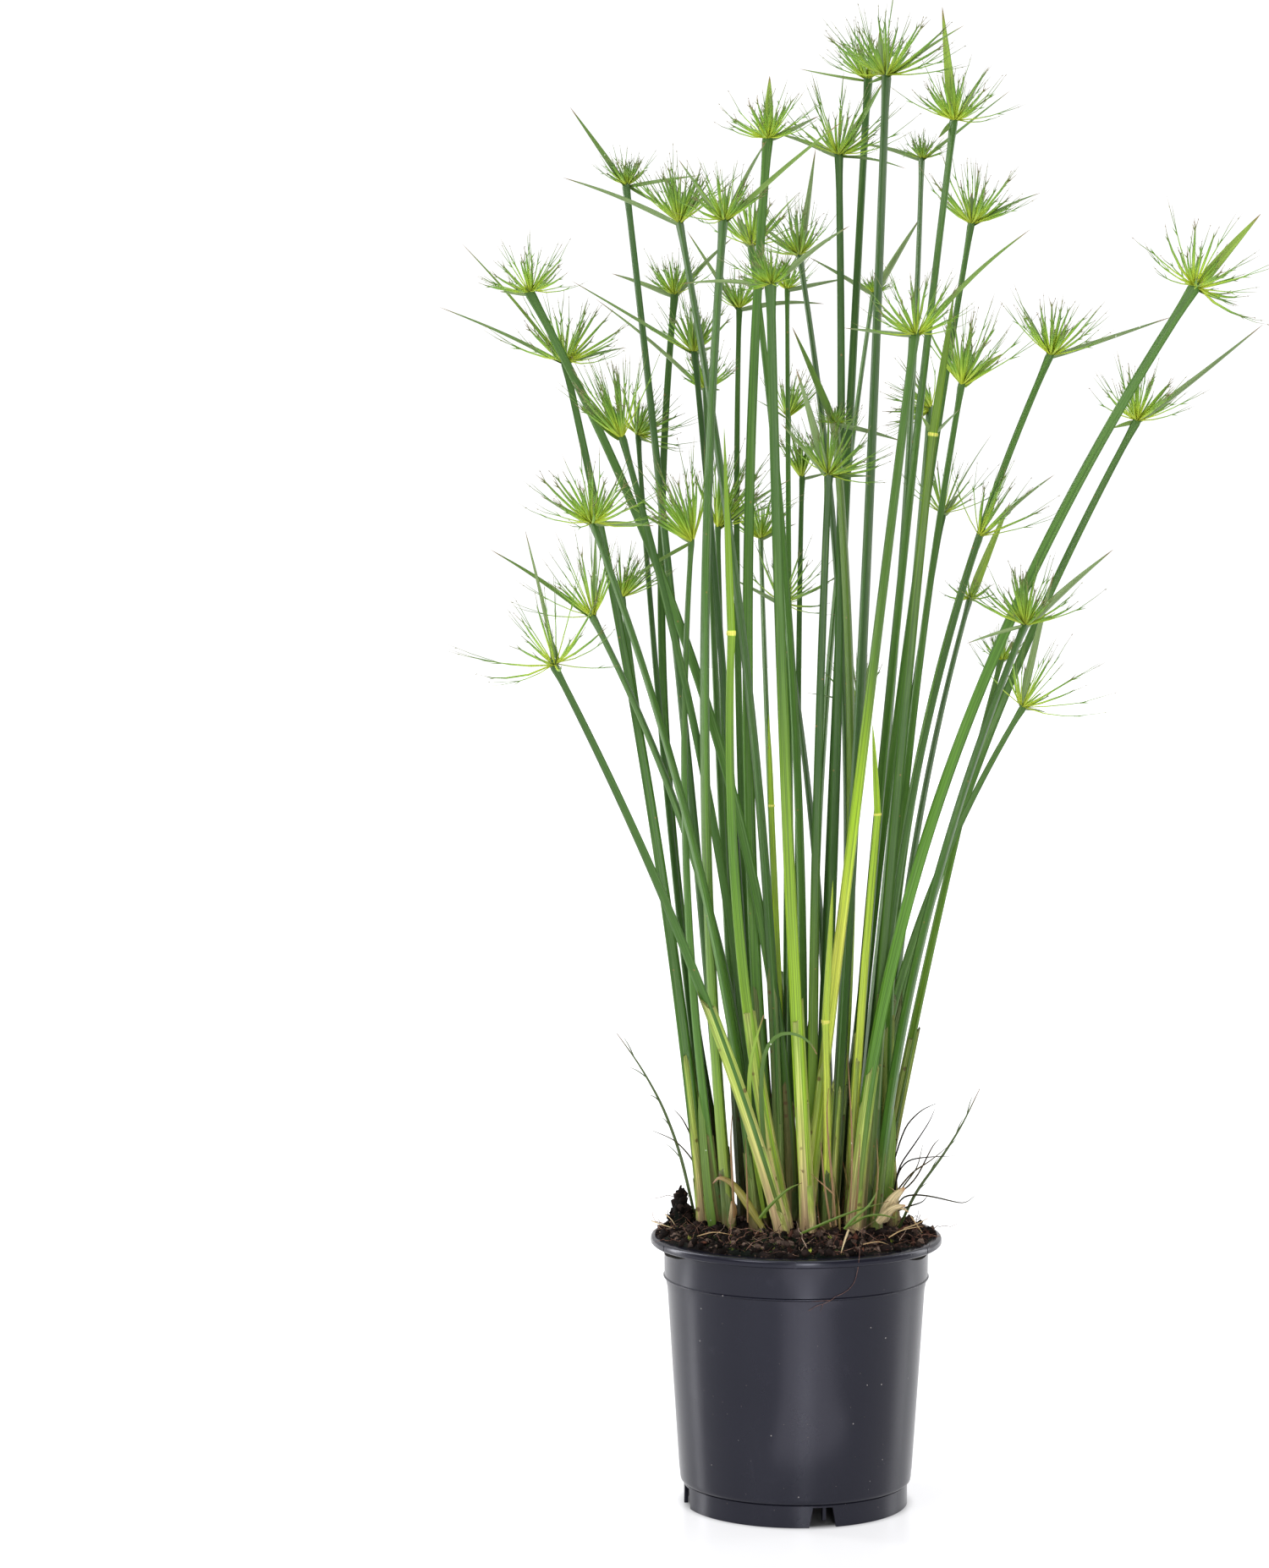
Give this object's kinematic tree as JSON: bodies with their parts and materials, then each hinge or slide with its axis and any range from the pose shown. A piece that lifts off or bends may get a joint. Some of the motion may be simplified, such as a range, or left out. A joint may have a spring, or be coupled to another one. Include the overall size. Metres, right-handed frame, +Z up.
{
  "type": "potted papyrus plant",
  "caption": "Umbrella papyrus in a plain round black nursery pot: a dense fan of green stalks, each topped by a burst of thin rays and a few long bracts.",
  "frame": {"origin": "centre of the bounding box in X and Y, at the foot of the pot, so the pot's axis stands 35 mm to the left of it and 7 mm behind it", "axes": "+Z up along the stalks, +X to the right and -Y towards the viewer of the picture"},
  "size_m": [0.5307, 0.3475, 0.9708],
  "materials": {
    "pot_black": "satin black injection-moulded plastic",
    "peat": "rough dark brown peat with fibres",
    "culm_green": "satin mid green stalk",
    "young_green": "satin bright yellow-green young stalk",
    "dry_blade": "dull tan dried leaf",
    "grass": "thin green weed blade"
  },
  "bodies": {
    "root": {"curled_leaf": "dry_blade", "left_grass": "grass", "peat": "peat", "pot": "pot_black", "right_grass": "grass", "stalk_01": "culm_green", "stalk_02": "culm_green", "stalk_03": "young_green", "stalk_04": "culm_green", "stalk_05": "culm_green", "stalk_06": "culm_green", "stalk_07": "culm_green", "stalk_08": "young_green", "stalk_09": "culm_green", "stalk_10": "culm_green", "stalk_11": "culm_green", "stalk_12": "culm_green", "stalk_13": "young_green", "stalk_14": "culm_green", "stalk_15": "culm_green", "stalk_16": "culm_green", "stalk_17": "culm_green", "stalk_18": "young_green", "stalk_19": "culm_green", "stalk_20": "culm_green", "stalk_21": "culm_green", "stalk_22": "culm_green", "stalk_23": "young_green", "stalk_24": "culm_green", "stalk_25": "culm_green", "stalk_26": "culm_green", "stalk_27": "culm_green", "stalk_28": "young_green", "stalk_29": "culm_green", "stalk_30": "young_green", "stalk_31": "culm_green", "stalk_32": "culm_green", "stalk_33": "young_green", "stalk_34": "culm_green", "stalk_35": "culm_green", "stalk_36": "culm_green", "stalk_37": "culm_green", "stalk_38": "young_green", "stalk_39": "culm_green", "stalk_40": "culm_green", "stalk_41": "culm_green", "stalk_42": "culm_green", "stalk_43": "young_green", "stalk_44": "culm_green", "stalk_45": "culm_green", "stalk_46": "culm_green", "stalk_47": "culm_green", "stalk_48": "young_green", "stalk_49": "culm_green", "young_stalk_1": "young_green", "young_stalk_2": "young_green", "young_stalk_3": "young_green", "young_stalk_4": "young_green"}
  },
  "joints": []
}
